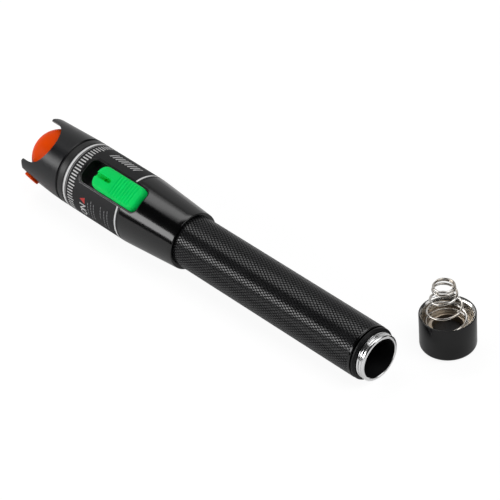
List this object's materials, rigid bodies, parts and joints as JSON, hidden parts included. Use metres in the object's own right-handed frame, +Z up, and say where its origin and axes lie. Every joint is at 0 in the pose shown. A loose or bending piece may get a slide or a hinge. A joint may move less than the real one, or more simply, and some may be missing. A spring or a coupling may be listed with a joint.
{
  "type": "visual fault locator",
  "caption": "Pen-shaped visual fault locator lying open at the tail, with a slide switch, a soft domed dust cap and its tail cap standing beside it on its closed end.",
  "frame": {"origin": "on the floor, under the centre of the bounding box of pen and tail cap", "axes": "the nose points to -X and the open tail to +X, the tail cap stands on the +Y side, +Z up"},
  "size_m": [0.1916, 0.053, 0.0279],
  "materials": {
    "black_anodised": "satin",
    "bare_aluminium": "satin",
    "label_film": "matte",
    "black_rubber": "matte",
    "orange_rubber": "satin",
    "green_plastic": "satin",
    "black_plastic": "matte",
    "spring_steel": "bright",
    "nickel_plate": "satin",
    "brass": "machined",
    "white_ceramic": "gloss",
    "lens_glass": "polished",
    "circuit_board": "satin"
  },
  "bodies": {
    "pen": {"battery_tube": "black_anodised", "tail_o_ring": "black_rubber", "head_sleeve": "black_anodised", "label_wrap": "label_film", "seam_ring": "black_rubber", "nose_shell": "black_anodised", "cap_strap": "orange_rubber", "strap_stud": "orange_rubber", "port_nozzle": "nickel_plate", "ferrule_sleeve": "white_ceramic", "port_nut": "nickel_plate", "laser_barrel": "brass", "laser_diode": "brass", "lens": "lens_glass", "lens_ring": "brass", "switch_tray": "black_plastic", "slide_switch": "black_plastic", "driver_board": "circuit_board", "driver_chip": "black_plastic", "filter_capacitor": "bare_aluminium", "board_carrier": "black_plastic", "contact_insulator": "black_plastic", "contact_plate": "nickel_plate", "contact_rivet": "brass", "front_spring": "spring_steel", "contact_tab": "brass", "tail_cap": "black_anodised", "cap_plug": "black_plastic", "cap_spring": "spring_steel"},
    "switch": {"switch_button": "green_plastic", "switch_slider": "spring_steel", "switch_knob": "black_plastic"},
    "dust_cap": {"dust_cap": "orange_rubber"}
  },
  "joints": [
    {"name": "switch_slide", "type": "slide", "parent": "pen", "child": "switch", "axis": [-0.9996, 0, 0.0284], "range_m": [0, 0.005]},
    {"name": "dust_cap_pull", "type": "slide", "parent": "pen", "child": "dust_cap", "axis": [-0.9996, 0, 0.0284], "range_m": [0, 0.014]}
  ]
}
